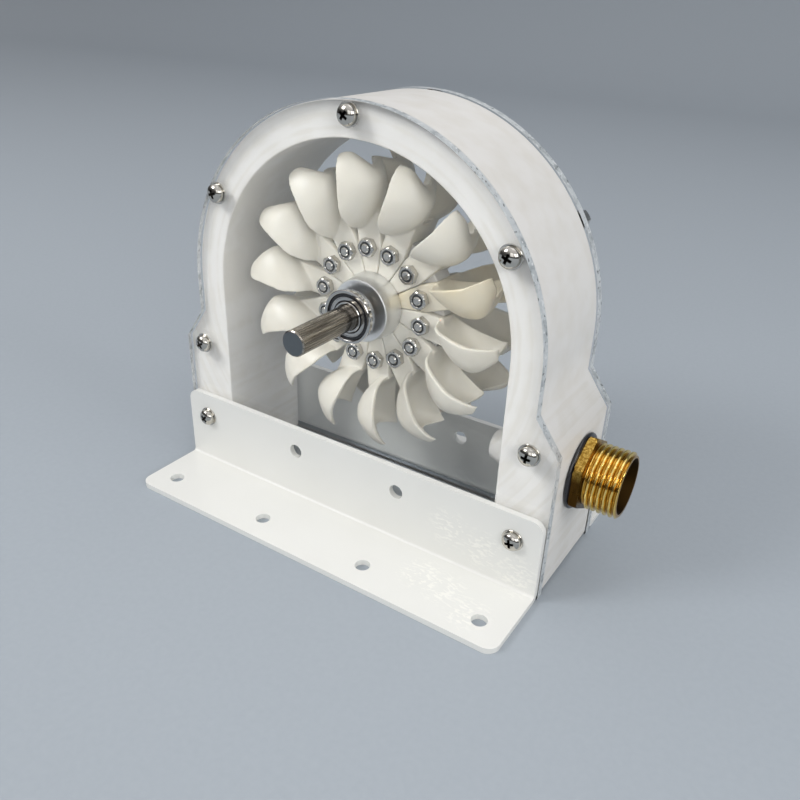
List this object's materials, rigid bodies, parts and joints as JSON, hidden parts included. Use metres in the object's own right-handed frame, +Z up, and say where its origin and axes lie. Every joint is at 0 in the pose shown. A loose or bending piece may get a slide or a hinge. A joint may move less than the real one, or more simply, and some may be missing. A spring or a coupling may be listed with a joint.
{
  "type": "pelton wheel",
  "caption": "Small Pelton wheel water turbine: arch-shaped white housing with clear plates, double-cup bucket runner on a steel shaft, angle brackets at the foot and a threaded brass inlet.",
  "frame": {"origin": "centre of the bounding box at floor level, under the runner's mid plane", "axes": "+Z up; -Y towards the side the shaft stands out of; +X towards the water inlet"},
  "size_m": [0.16, 0.1012, 0.1375],
  "materials": {
    "white_plastic": "satin white moulded plastic",
    "bucket_plastic": "satin warm white plastic",
    "clear_sheet": "clear acrylic sheet, cut edges greyish",
    "painted_steel": "white powder coat",
    "polished_steel": "ground and polished",
    "bearing_shield_steel": "pressed steel shield",
    "turned_aluminium": "turned, satin",
    "brass": "turned thread, plain hexagon",
    "seal_rubber": "moulded black rubber"
  },
  "bodies": {
    "housing": {"back_bearing_outer_ring": "polished_steel", "back_bearing_shield": "bearing_shield_steel", "back_bracket": "painted_steel", "back_plate": "clear_sheet", "front_bearing_outer_ring": "polished_steel", "front_bearing_shield": "bearing_shield_steel", "front_bracket": "painted_steel", "front_plate": "clear_sheet", "housing_frame": "white_plastic", "inlet_fitting": "brass", "inlet_seal": "seal_rubber"},
    "rotor": {"back_bearing_inner_ring": "polished_steel", "back_hub": "turned_aluminium", "bucket_01": "bucket_plastic", "bucket_02": "bucket_plastic", "bucket_03": "bucket_plastic", "bucket_04": "bucket_plastic", "bucket_05": "bucket_plastic", "bucket_06": "bucket_plastic", "bucket_07": "bucket_plastic", "bucket_08": "bucket_plastic", "bucket_09": "bucket_plastic", "bucket_10": "bucket_plastic", "bucket_11": "bucket_plastic", "bucket_12": "bucket_plastic", "bucket_13": "bucket_plastic", "bucket_14": "bucket_plastic", "front_bearing_inner_ring": "polished_steel", "front_hub": "turned_aluminium", "runner_disc": "white_plastic", "shaft": "polished_steel"}
  },
  "joints": [
    {"name": "runner_spin", "type": "hinge", "parent": "housing", "child": "rotor", "pos_m": [-0.0075, 0, 0.075], "axis": [0, 1, 0], "continuous": true}
  ]
}
